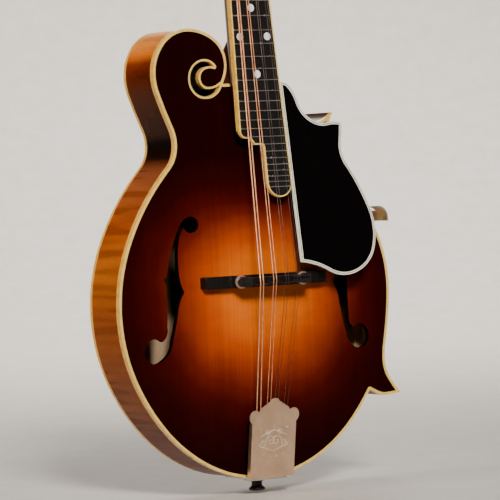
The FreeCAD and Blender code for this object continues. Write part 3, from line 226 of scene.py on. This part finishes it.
def sunburst_spruce():
    """Quarter-sawn spruce under a sunburst: amber round the bridge, near black at the rim."""
    g = Graph("sunburst_spruce")
    place = g.place()
    x, _, z = g.split(place)
    reach = burst_reach(g, x, z)
    drift = g.remap(g.noise(place, 22.0, 2.0), 0.3, 0.7, -0.04, 0.04)
    burst = g.ramp(g.math("MULTIPLY", g.math("ADD", reach, drift), 0.5), TOP_BURST)
    grain = g.noise(g.scaled(place, (900, 60, 7)), 1.0, 2.0, 0.6)
    broad = g.noise(g.scaled(place, (190, 20, 3)), 1.0, 1.0, 0.5)
    silk = g.noise(g.scaled(place, (60, 60, 160)), 1.0, 3.0, 0.6)
    lines = g.math("MULTIPLY", g.remap(grain, 0.35, 0.7, 0.88, 1.07),
                   g.remap(broad, 0.35, 0.65, 0.95, 1.05))
    sheen = g.remap(silk, 0.3, 0.7, 0.94, 1.05)
    color = g.mix(1.0, burst, g.math("MULTIPLY", lines, sheen), "MULTIPLY")
    facing = g.split(g.normal())[1]
    edge = g.math("GREATER_THAN", facing, -0.5)
    inside = g.math("GREATER_THAN", facing, 0.3)
    raw = g.mix(1.0, srgb(206, 176, 132), lines, "MULTIPLY")
    color = g.mix(edge, color, srgb(16, 7, 5))
    color = g.mix(inside, color, raw)
    normal = g.bump(grain, 0.00002, 0.25)
    return g.finish(color, g.remap(silk, 0.3, 0.7, 0.28, 0.4), normal, Coat_Weight=0.03,
                    Coat_Roughness=0.05, Specular_IOR_Level=0.0)


def round_the_rim(g, place):
    """Distance along the rim, from the angle about the middle of the body, and the depth."""
    x, y, z = g.split(place)
    angle = g.math("ARCTAN2", g.math("SUBTRACT", z, BODY_MIDDLE), x)
    return g.joined(g.math("MULTIPLY", angle, RIM_RADIUS), y, 0.0)


def across_the_back(g, place):
    """Distance along the neck's line first, so that the curl's bands run across the instrument."""
    x, _, z = g.split(place)
    return g.joined(z, x, 0.0)


def curl(g, plane):
    """Figured maple, 0 to 1: soft bands a few millimetres apart that run across the first axis."""
    broad = g.noise(g.scaled(plane, (150, 9, 1)), 1.0, 0.0, 0.5, 0.2)
    fine = g.noise(g.scaled(plane, (330, 30, 1)), 1.0, 2.0, 0.6)
    strength = g.noise(g.scaled(plane, (16, 16, 1)), 1.0, 1.0)
    bands = g.math("ADD", g.math("MULTIPLY", broad, 0.8), g.math("MULTIPLY", fine, 0.2))
    bands = g.smooth(bands, 0.34, 0.66)
    calm = g.remap(strength, 0.35, 0.65, 0.25, 1.0)
    return g.math("ADD", g.math("MULTIPLY", g.math("SUBTRACT", bands, 0.5), calm), 0.5)


def flamed_maple(name, stops, plane, inner):
    """Figured maple under shaded lacquer; the colour follows the height on the body. Inside faces are bare
    wood with painted light low on the body and painted shade above it.
    """
    g = Graph(name)
    place = g.place()
    figure = curl(g, plane(g, place))
    height = g.math("ADD", g.remap(g.split(place)[2], 0.0, SHADES_TOP),
                    g.remap(figure, 0.0, 1.0, -0.006, 0.006))
    shade = g.ramp(height, stops)
    pores = g.noise(g.scaled(place, (900, 160, 900)), 1.0, 3.0, 0.6)
    dark = g.mix(1.0, shade, srgb(210, 194, 172), "MULTIPLY")
    light = g.mix(1.0, shade, (1.3, 1.34, 1.4, 1.0), "MULTIPLY")
    color = g.mix(figure, dark, light)
    color = g.mix(1.0, color, g.remap(pores, 0.3, 0.7, 0.9, 1.08), "MULTIPLY")
    # inside faces: bare wood with a painted pool of light low on the body and painted shade higher up
    bare_with_painted_light = g.ramp(g.remap(g.split(place)[2], *INSIDE_LIGHT_SPAN), INSIDE_LIGHT_AND_SHADE)
    bare_with_painted_light = g.mix(1.0, bare_with_painted_light, g.remap(pores, 0.3, 0.7, 0.9, 1.1), "MULTIPLY")
    color = g.mix(inner(g, place), color, bare_with_painted_light)
    return g.finish(color, g.remap(figure, 0.0, 1.0, 0.24, 0.34), g.bump(pores, 0.00003, 0.2),
                    Coat_Weight=0.03, Coat_Roughness=0.1, Specular_IOR_Level=0.05)


def faces_inward(g, place):
    """1 where a rib's face looks towards the middle of the body."""
    x, _, z = g.split(place)
    nx, _, nz = g.split(g.normal())
    dot = g.math("ADD", g.math("MULTIPLY", x, nx),
                 g.math("MULTIPLY", g.math("SUBTRACT", z, BODY_MIDDLE), nz))
    in_bouts = g.math("LESS_THAN", z, BOUTS_TOP)
    return g.math("MULTIPLY", g.math("LESS_THAN", dot, -10 * MM), in_bouts)


def faces_front(g, _):
    """1 on the hollow side of the back plate."""
    return g.math("LESS_THAN", g.split(g.normal())[1], -0.3)


SIDE_SHADES = [
    (0.0, (104, 50, 22)),
    (0.1, (92, 40, 14)),
    (0.17, (116, 62, 26)),
    (0.38, (134, 64, 14)),
    (0.47, (158, 82, 15)),
    (0.56, (142, 62, 8)),
    (0.66, (128, 64, 28)),
    (0.69, (104, 50, 24)),
    (0.71, (24, 7, 3)),
    (0.745, (12, 6, 2)),
    (0.76, (54, 28, 15)),
    (0.84, (70, 33, 14)),
    (0.885, (84, 28, 5)),
    (0.915, (116, 42, 4)),
    (0.943, (190, 98, 24)),
    (0.98, (216, 140, 60)),
]
# the bare wood inside the body, with painted light low down and painted shade above
INSIDE_LIGHT_AND_SHADE = [
    (0.0, (206, 172, 140)),
    (0.3, (178, 146, 114)),
    (0.42, (74, 60, 40)),
    (1.0, (52, 42, 30)),
]
BACK_SHADES = [
    (0.0, (44, 10, 6)),
    (0.22, (92, 26, 8)),
    (0.42, (184, 92, 24)),
    (0.56, (150, 62, 14)),
    (0.72, (60, 12, 6)),
    (1.0, (38, 8, 5)),
]


def neck_maple():
    """Dark red-brown lacquer over straight maple."""
    g = Graph("neck_maple")
    place = g.place()
    grain = g.noise(g.scaled(place, (260, 260, 14)), 1.0, 3.0, 0.6)
    figure = curl(g, across_the_back(g, place))
    color = g.ramp(grain, [(0.3, (38, 10, 6)), (0.55, (58, 17, 9)), (0.75, (76, 25, 12))])
    color = g.mix(1.0, color, g.remap(figure, 0.0, 1.0, 0.8, 1.3), "MULTIPLY")
    return g.finish(color, g.remap(grain, 0.3, 0.7, 0.25, 0.4), g.bump(grain, 0.00005, 0.2),
                    Coat_Weight=0.4, Coat_Roughness=0.06)


def raw_wood():
    """Unfinished wood, for the pieces inside the body."""
    g = Graph("raw_wood")
    place = g.place()
    grain = g.noise(g.scaled(place, (500, 90, 14)), 1.0, 4.0, 0.6)
    color = g.ramp(grain, [(0.3, (158, 118, 76)), (0.55, (190, 152, 106)), (0.75, (206, 172, 126))])
    return g.finish(color, 0.75, g.bump(grain, 0.0001, 0.4))


def dark_lacquer():
    """The scroll's inner walls: wood grain drowned in near-black lacquer."""
    g = Graph("dark_lacquer")
    grain = g.noise(g.scaled(g.place(), (500, 90, 60)), 1.0, 3.0, 0.6)
    color = g.ramp(grain, [(0.3, (12, 5, 4)), (0.7, (24, 9, 6))])
    return g.finish(color, g.remap(grain, 0.3, 0.7, 0.25, 0.4), g.bump(grain, 0.00004, 0.2),
                    Coat_Weight=0.3, Specular_IOR_Level=0.3)


def ebony(name, shine):
    """Black wood with fine brown streaks and open pores."""
    g = Graph(name)
    place = g.place()
    grain = g.noise(g.scaled(place, (520, 520, 34)), 1.0, 4.0, 0.65)
    pores = g.noise(g.scaled(place, (1800, 1800, 130)), 1.0, 2.0, 0.5)
    color = g.ramp(grain, [(0.35, (11, 9, 9)), (0.6, (18, 15, 14)), (0.8, (32, 25, 22))])
    rough = g.remap(pores, 0.3, 0.7, shine - 0.06, shine + 0.1)
    return g.finish(color, rough, g.bump(pores, 0.00005, 0.35, under=g.round_edges(0.4)),
                    Specular_IOR_Level=0.2)


# ------------------------------------------------------------------ plastics and shell
def binding(name, light, dark, side=None):
    """Celluloid with faint long streaks; where a side colour is given, the side faces take it as painted
    shade, darker and more golden than the front and back.
    """
    g = Graph(name)
    place = g.place()
    mottle = g.noise(place, 160.0, 3.0, 0.6)
    streak = g.noise(g.scaled(place, (900, 1200, 30)), 1.0, 2.0, 0.5)
    blend = g.math("ADD", g.math("MULTIPLY", mottle, 0.6), g.math("MULTIPLY", streak, 0.4))
    color = g.mix(g.remap(blend, 0.35, 0.65), srgb(*dark), srgb(*light))
    # painted shade: faces that look sideways get the darker, more golden side colour
    if side:
        flat = g.remap(g.math("ABSOLUTE", g.split(g.normal())[1]), 0.2, 0.9)
        color = g.mix(g.math("SUBTRACT", 1.0, flat), color, srgb(*side))
    normal = g.bump(mottle, 0.00005, 0.1, under=g.round_edges(0.3))
    return g.finish(color, g.remap(mottle, 0.3, 0.7, 0.22, 0.36), normal,
                    Subsurface_Weight=0.04, Subsurface_Scale=0.001, Coat_Weight=0.2)


def gloss_black():
    """Polished black celluloid with the faintest orange peel and fine rubbed scratches."""
    g = Graph("gloss_black")
    place = g.place()
    peel = g.noise(place, 350.0, 2.0, 0.5)
    rub = g.noise(g.scaled(place, (1500, 1500, 60)), 1.0, 3.0, 0.6)
    color = g.mix(g.remap(rub, 0.45, 0.75), srgb(5, 3, 3), srgb(9, 6, 6))
    return g.finish(color, g.remap(rub, 0.3, 0.75, 0.06, 0.14), g.bump(peel, 0.00002, 0.08),
                    Specular_IOR_Level=0.14)


def pearl():
    """Shell with soft pink and green clouds."""
    g = Graph("pearl")
    place = g.place()
    cells = g.noise(place, 420.0, 3.0, 0.6, 1.6)
    color = g.ramp(cells, [(0.3, (198, 206, 204)), (0.5, (240, 242, 238)), (0.7, (226, 214, 222))])
    return g.finish(color, g.remap(cells, 0.3, 0.7, 0.1, 0.25), Coat_Weight=0.5, Sheen_Weight=0.2)


def bone():
    """Warm white bone with a fine grain."""
    g = Graph("bone")
    grain = g.noise(g.scaled(g.place(), (80, 900, 900)), 1.0, 4.0, 0.6)
    color = g.ramp(grain, [(0.3, (206, 194, 164)), (0.7, (236, 228, 206))])
    return g.finish(color, g.remap(grain, 0.3, 0.7, 0.3, 0.45), Subsurface_Weight=0.1,
                    Subsurface_Scale=0.001)


# ------------------------------------------------------------------ metals
def metal(name, color, dark, rough, brush=(300, 300, 300), edge=0.25):
    """Plated metal: slow tarnish, brushed grain and fine scratches in the roughness."""
    g = Graph(name)
    place = g.place()
    tarnish = g.noise(place, 90.0, 4.0, 0.6)
    grain = g.noise(g.scaled(place, brush), 1.0, 3.0, 0.6)
    tone = g.mix(g.remap(tarnish, 0.35, 0.75), srgb(*color), srgb(*dark))
    normal = g.bump(grain, 0.00002, 0.15, under=g.round_edges(edge))
    return g.finish(tone, g.remap(grain, 0.3, 0.75, rough - 0.04, rough + 0.08), normal,
                    Metallic=1.0)


def wound_wire():
    """Bronze wrap wire: fine turns across the string."""
    g = Graph("wound_wire")
    place = g.place()
    wave = g.add("TexWave", bands_direction="Z")
    g.plug(place, wave.inputs["Vector"])
    wave.inputs["Scale"].default_value = 900.0
    tone = g.noise(place, 200.0, 2.0)
    color = g.ramp(tone, [(0.3, (206, 138, 98)), (0.7, (236, 172, 130))])
    return g.finish(color, g.remap(wave.outputs["Fac"], 0.0, 1.0, 0.34, 0.5),
                    g.bump(wave.outputs["Fac"], 0.00006, 0.4), Metallic=0.75)


# ------------------------------------------------------------------ dressing the CAD nodes
# distance from the centreline at which a tuner shaft's button begins
BUTTON_START = 35.65 * MM


def dress(material, *names):
    """One material on each of the named CAD nodes."""
    for name in names:
        node = NODES[name]
        node.data.materials.clear()
        node.data.materials.append(material)


def dress_wood():
    """Soundboard, back, ribs, neck, inner blocks and the turned and carved ebony."""
    sides = flamed_maple("flamed_maple_sides", SIDE_SHADES, round_the_rim, faces_inward)
    back = flamed_maple("flamed_maple_back", BACK_SHADES, across_the_back, faces_front)
    dress(sunburst_spruce(), "soundboard")
    dress(sides, "bass_rib", "treble_lower_rib", "treble_middle_rib", "treble_upper_rib")
    dress(back, "back_plate")
    dress(neck_maple(), "neck")
    dress(raw_wood(), "tail_block", "neck_block", "point_blocks", "linings", "tone_bars")
    dress(dark_lacquer(), "scroll_block")
    dress(ebony("ebony_board", 0.5), "fingerboard")
    dress(ebony("ebony_turned", 0.3), "bridge_base", "bridge_saddle", "end_pin", "heel_cap")


def dress_trim():
    """Bindings, pickguard, headstock face, markers and nut."""
    # the last colour is painted shade on the binding's side faces
    cream = binding("cream_binding", (234, 196, 104), (216, 176, 86), (220, 164, 66))
    white = binding("white_edge", (232, 228, 212), (218, 212, 194))
    black = gloss_black()
    dress(cream, "top_binding", "back_binding", "board_binding", "head_binding")
    dress(black, "head_veneer", "truss_cover", "pickguard")
    dress(white, "pickguard_edge")
    dress_guard_edge(NODES["pickguard_edge"], black)
    dress(pearl(), "position_markers")
    dress(bone(), "nut")


def dress_metalwork():
    """Frets, truss rod, tailpiece, clamp, screws and tuners."""
    nickel = metal("nickel", (214, 206, 192), (180, 168, 150), 0.2)
    satin = metal("satin_nickel", (236, 200, 168), (216, 180, 146), 0.34, (300, 300, 60))
    bright = metal("bright_nickel", (244, 238, 226), (222, 212, 196), 0.42)
    dress(nickel, "wood_screws", "tuner_plate_bass", "tuner_plate_treble", "bushings",
          "tailpiece_base", "bridge_posts")
    dress(satin, "tailpiece_cover")
    dress(bright, "thumbwheel_bass", "thumbwheel_treble", "pickguard_bracket", "bracket_screw")
    dress(metal("fret_wire", (206, 206, 202), (170, 168, 162), 0.22, edge=0.1), "frets")
    dress(metal("steel", (176, 176, 178), (132, 130, 128), 0.28), "truss_rod")
    dress(metal("brass", (206, 178, 118), (160, 130, 78), 0.22), "truss_nut")
    button = binding("button_pearloid", (236, 228, 208), (214, 204, 182))
    for number in POST_STRINGS:
        dress(nickel, "tuner_post_%d" % number)
        dress_shaft(NODES["tuner_shaft_%d" % number], nickel, button)


def dress_strings():
    """The strings and, in the same two wires, their turns round the posts."""
    plain = metal("plain_wire", (112, 96, 88), (84, 70, 64), 0.3, edge=0.05)
    wound = wound_wire()
    dress(plain, "strings_plain")
    dress(wound, "strings_wound")
    windings(wound, plain)


def dress_shaft(node, shank, button):
    """The outer end of each tuner shaft is its button, in a material of its own."""
    dress(shank, node.name)
    node.data.materials.append(button)
    for face in node.data.polygons:
        if abs(face.center.x) > BUTTON_START:
            face.material_index = 1


def dress_guard_edge(node, middle):
    """The middle one of the edge's three laminations is black, on its front and its back.

    The widest pair of faces is the outer lamination's, and the next pair the middle one's.
    """
    node.data.materials.append(middle)
    by_width = sorted(patches(node.data), key=lambda faces: width(node.data, faces))
    for patch in by_width[-4:-2]:
        for face in patch:
            node.data.polygons[face].material_index = 1


def patches(mesh):
    """Lists of face numbers, one for each patch of faces that share their vertices."""
    owner = list(range(len(mesh.vertices)))

    def find(vertex):
        while owner[vertex] != vertex:
            owner[vertex] = owner[owner[vertex]]
            vertex = owner[vertex]
        return vertex

    for face in mesh.polygons:
        first = find(face.vertices[0])
        for vertex in face.vertices[1:]:
            owner[find(vertex)] = first
    groups = {}
    for face in mesh.polygons:
        groups.setdefault(find(face.vertices[0]), []).append(face.index)
    return list(groups.values())


def width(mesh, faces):
    """How far a patch of faces reaches from side to side."""
    across = [mesh.vertices[vertex].co.x for face in faces for vertex in mesh.polygons[face].vertices]
    return max(across) - min(across)


# ------------------------------------------------------------------ added pieces
COVER_TILT = math.radians(8.4)
COVER_FOOT = Vector((0, -22.6, -2.2)) * MM
COVER_FACE = 8.0 * MM
ENGRAVED_LINE = 0.2 * MM
CURLS = (
    # distance from the middle, height, size, turning direction
    (2.5, 33, 4.6, 1),
    (10.0, 31.5, 3.6, -1),
    (5.5, 39.5, 2.6, 1),
)
POST_EYE = -4.9 * MM
POST_WAIST = 2.4 * MM
STRING_WIRES = {"G": 0.51 * MM, "D": 0.33 * MM, "A": 0.205 * MM, "E": 0.14 * MM}
POST_STRINGS = {1: "G", 2: "G", 3: "D", 4: "D", 5: "E", 6: "E", 7: "A", 8: "A"}


def wire_piece(name, lines, radius, material, body):
    """A round wire along smooth lines of points, riding on a body."""
    data = bpy.data.curves.new(name, "CURVE")
    data.dimensions = "3D"
    data.bevel_depth = radius
    data.bevel_resolution = 3
    data.use_fill_caps = True
    data.resolution_u = 6
    for points in lines:
        spline = data.splines.new("NURBS")
        spline.points.add(len(points) - 1)
        for point, where in zip(spline.points, points):
            point.co = (*where, 1)
        spline.order_u = 3
        spline.use_endpoint_u = True
    data.materials.append(material)
    piece = bpy.data.objects.new(name, data)
    bpy.context.scene.collection.objects.link(piece)
    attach(piece, body)


def on_cover(x, height):
    """A point on the tailpiece cover's tilted face, in millimetres across and up it."""
    outward = Vector((0, -math.cos(COVER_TILT), -math.sin(COVER_TILT)))
    upward = Vector((0, -math.sin(COVER_TILT), math.cos(COVER_TILT)))
    return COVER_FOOT + Vector((x * MM, 0, 0)) + upward * height * MM + outward * COVER_FACE


def engraving():
    """Generic scrollwork on the tailpiece cover's face: a diamond of curls in fine raised lines."""
    material = metal("cut_metal", (255, 250, 240), (250, 240, 226), 0.55, edge=0.05)
    lines = []
    for side in (-1, 1):
        for start, height, size, turn in CURLS:
            whorl = []
            for step in range(17):
                angle = math.radians(28 * step)
                reach = size * (1 - step / 20)
                whorl.append(on_cover(side * (start + reach * math.cos(angle)),
                                      height + turn * reach * math.sin(angle)))
            lines.append(whorl)
        for base, lean in ((25.0, 1), (41.5, -1)):
            lines.append([on_cover(side * step * 2.5, base + lean * step * 0.9) for step in range(6)])
        for across, height in ((12.5, 43.0), (9.0, 22.5), (3.0, 21.0)):
            lines.append([on_cover(side * (across + lean), height + lean) for lean in (-0.6, 0, 0.6)])
    lines.append([on_cover(0, height) for height in (43.0, 44.5, 46.0)])
    wire_piece("cover_engraving", lines, ENGRAVED_LINE, material, "cover")


def windings(wound, plain):
    """The few turns of each string round its tuner post."""
    for number, string in POST_STRINGS.items():
        joint = JOINTS["post_turn_%d" % number]
        axis = Vector(joint["axis"])
        side = axis.orthogonal().normalized()
        ahead = axis.cross(side)
        radius = STRING_WIRES[string]
        turns = 2 if string == "G" else 4
        line = []
        for step in range(turns * 12 + 1):
            angle = math.radians(30 * step)
            depth = POST_EYE + (step / 12 - turns / 2) * 2 * radius
            around = side * math.cos(angle) + ahead * math.sin(angle)
            line.append(Vector(joint["pos_m"]) + axis * depth + around * (POST_WAIST + radius))
        wire_piece("winding_%d" % number, [line], radius, wound if string in "GD" else plain,
                   "post_%d" % number)


# ------------------------------------------------------------------ studio
AIM = (0, 0, 0.2)
FLOOR_GAP = 0.002
FLOOR_FRONT = -6.0
FLOOR_BACK = 2.2
SWEEP_RADIUS = 1.2
WALL_TOP = 4.5
HALF_WIDTH = 7.0
SWEEP_TURN = math.radians(-34)


def area_light(name, place, size, power, color, spread=180, aim=AIM):
    """A rectangular light; power in watts, spread in degrees."""
    data = bpy.data.lights.new(name, "AREA")
    data.shape = "RECTANGLE"
    data.size, data.size_y = size
    data.energy = power
    data.color = color
    data.spread = math.radians(spread)
    light = bpy.data.objects.new(name, data)
    bpy.context.scene.collection.objects.link(light)
    light.location = place
    light.rotation_mode = "QUATERNION"
    light.rotation_quaternion = (Vector(aim) - Vector(place)).to_track_quat("-Z", "Y")


def backdrop():
    """A pale floor that curves up into a wall behind the instrument."""
    floor_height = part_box("end_pin")[0].z - FLOOR_GAP
    section = [(FLOOR_FRONT, floor_height), (FLOOR_BACK, floor_height)]
    for step in range(1, 13):
        turn = math.radians(90 * step / 12)
        section.append((FLOOR_BACK + SWEEP_RADIUS * math.sin(turn),
                        floor_height + SWEEP_RADIUS * (1 - math.cos(turn))))
    section.append((FLOOR_BACK + SWEEP_RADIUS, WALL_TOP))
    points = [(x, y, z) for x in (-HALF_WIDTH, HALF_WIDTH) for y, z in section]
    count = len(section)
    faces = [(i, i + 1, count + i + 1, count + i) for i in range(count - 1)]
    mesh = bpy.data.meshes.new("backdrop")
    mesh.from_pydata(points, [], faces)
    mesh.polygons.foreach_set("use_smooth", [True] * len(faces))
    sweep = bpy.data.objects.new("backdrop", mesh)
    bpy.context.scene.collection.objects.link(sweep)
    g = Graph("backdrop_paper")
    fibre = g.noise(g.place(), 40.0, 4.0, 0.6)
    color = g.ramp(fibre, [(0.3, (196, 190, 182)), (0.7, (204, 199, 191))])
    mesh.materials.append(g.finish(color, 0.85, g.bump(fibre, 0.0002, 0.1)))
    sweep.rotation_euler.z = SWEEP_TURN


def studio():
    """Dim surroundings, a narrow key light from the front and wide soft lights elsewhere."""
    world = bpy.data.worlds.new("studio")
    world.use_nodes = True
    world.node_tree.nodes["Background"].inputs["Color"].default_value = (0.95, 0.95, 1.0, 1)
    world.node_tree.nodes["Background"].inputs["Strength"].default_value = 0.04
    bpy.context.scene.world = world
    area_light("key", (-0.75, -1.75, 1.12), (0.45, 0.45), 2.5, (1.0, 0.97, 0.92), spread=30)
    area_light("side", (-2.3, 0.25, 0.9), (1.0, 1.6), 30, (1.0, 0.96, 0.9))
    area_light("rear", (1.7, 1.9, 1.7), (1.4, 1.4), 30, (1.0, 0.98, 0.95))
    area_light("above", (0.2, 0.4, 2.4), (1.2, 1.2), 14, (1.0, 0.98, 0.95))
    area_light("wall", (0.6, 0.9, 2.6), (1.5, 1.0), 80, (1.0, 0.98, 0.95), 120, (1.8, 2.7, 0.5))


CAMERA_PLACE = (-1.40473, -2.07563, 0.24255)
CAMERA_FORWARD = Vector((0.562913, 0.826077, -0.026933))
CAMERA_RIGHT = Vector((0.824992, -0.563555, -0.042365))
SENSOR_WIDTH = 36
FOCAL_LENGTH = 233.6


def camera():
    """The photograph's view: a long lens, low and to the bass side."""
    up = CAMERA_RIGHT.cross(CAMERA_FORWARD)
    data = bpy.data.cameras.new("camera")
    data.sensor_width = SENSOR_WIDTH
    data.lens = FOCAL_LENGTH
    data.clip_start, data.clip_end = 0.1, 50
    view = bpy.data.objects.new("camera", data)
    bpy.context.scene.collection.objects.link(view)
    turn = Matrix((CAMERA_RIGHT, up, -CAMERA_FORWARD)).transposed()
    view.matrix_world = Matrix.Translation(CAMERA_PLACE) @ turn.to_4x4()
    bpy.context.scene.camera = view


dress_wood()
dress_trim()
dress_metalwork()
dress_strings()
engraving()
backdrop()
studio()
camera()
